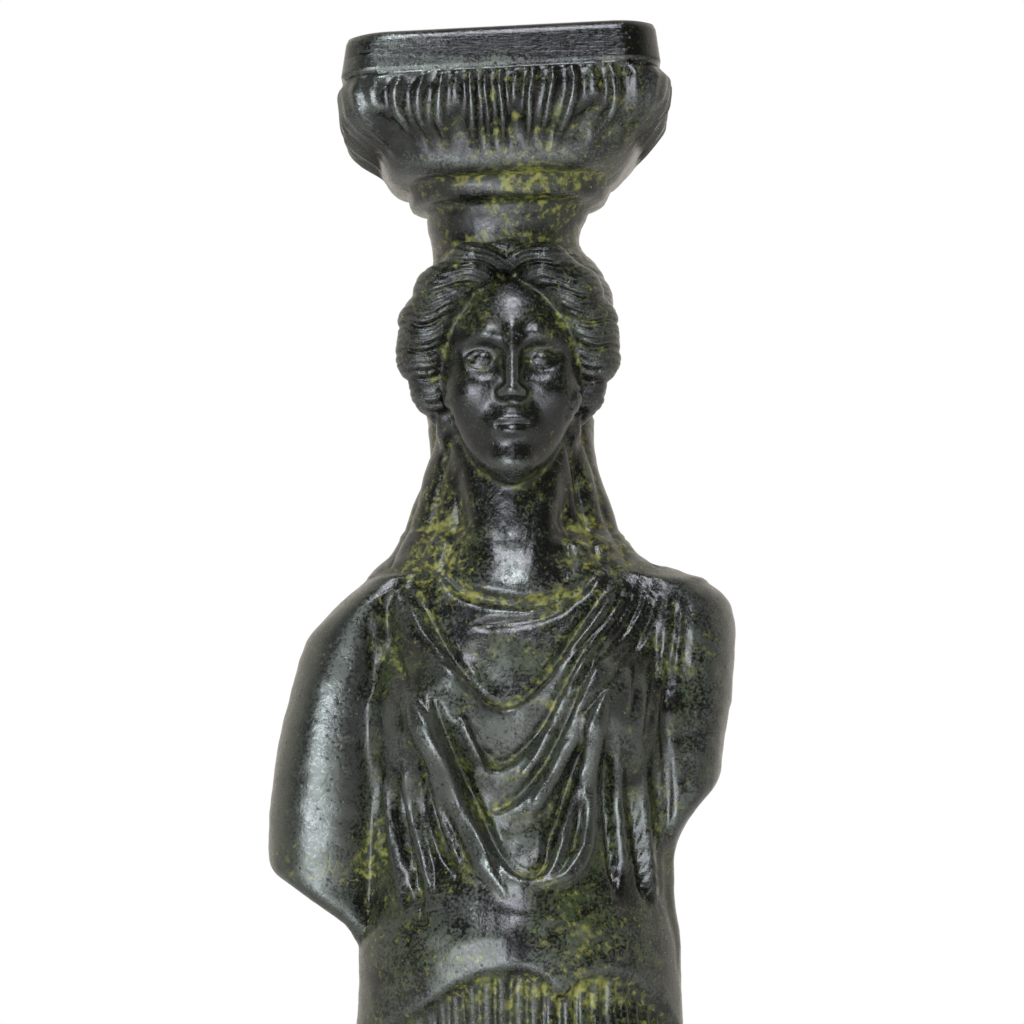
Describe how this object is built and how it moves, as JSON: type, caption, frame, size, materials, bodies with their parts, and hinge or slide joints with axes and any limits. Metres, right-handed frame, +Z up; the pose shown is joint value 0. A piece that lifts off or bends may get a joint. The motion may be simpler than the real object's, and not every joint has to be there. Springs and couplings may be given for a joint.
{
  "type": "caryatid statuette",
  "caption": "Draped maiden with armless shoulders who carries a capital on her head, cast in dark patinated bronze in one piece with a low square plinth.",
  "frame": {"origin": "centre of the plinth's underside, on the surface that the statuette stands on", "axes": "+Z up the figure's axis, +X towards the right-hand side as seen from the front, and the figure faces -Y"},
  "size_m": [0.056, 0.056, 0.2138],
  "materials": {
    "bronze": "dark glossy bronze with a patchy olive-green and yellow-green patina in the hollows"
  },
  "bodies": {
    "root": {"caryatid_statuette": "bronze"}
  },
  "joints": []
}
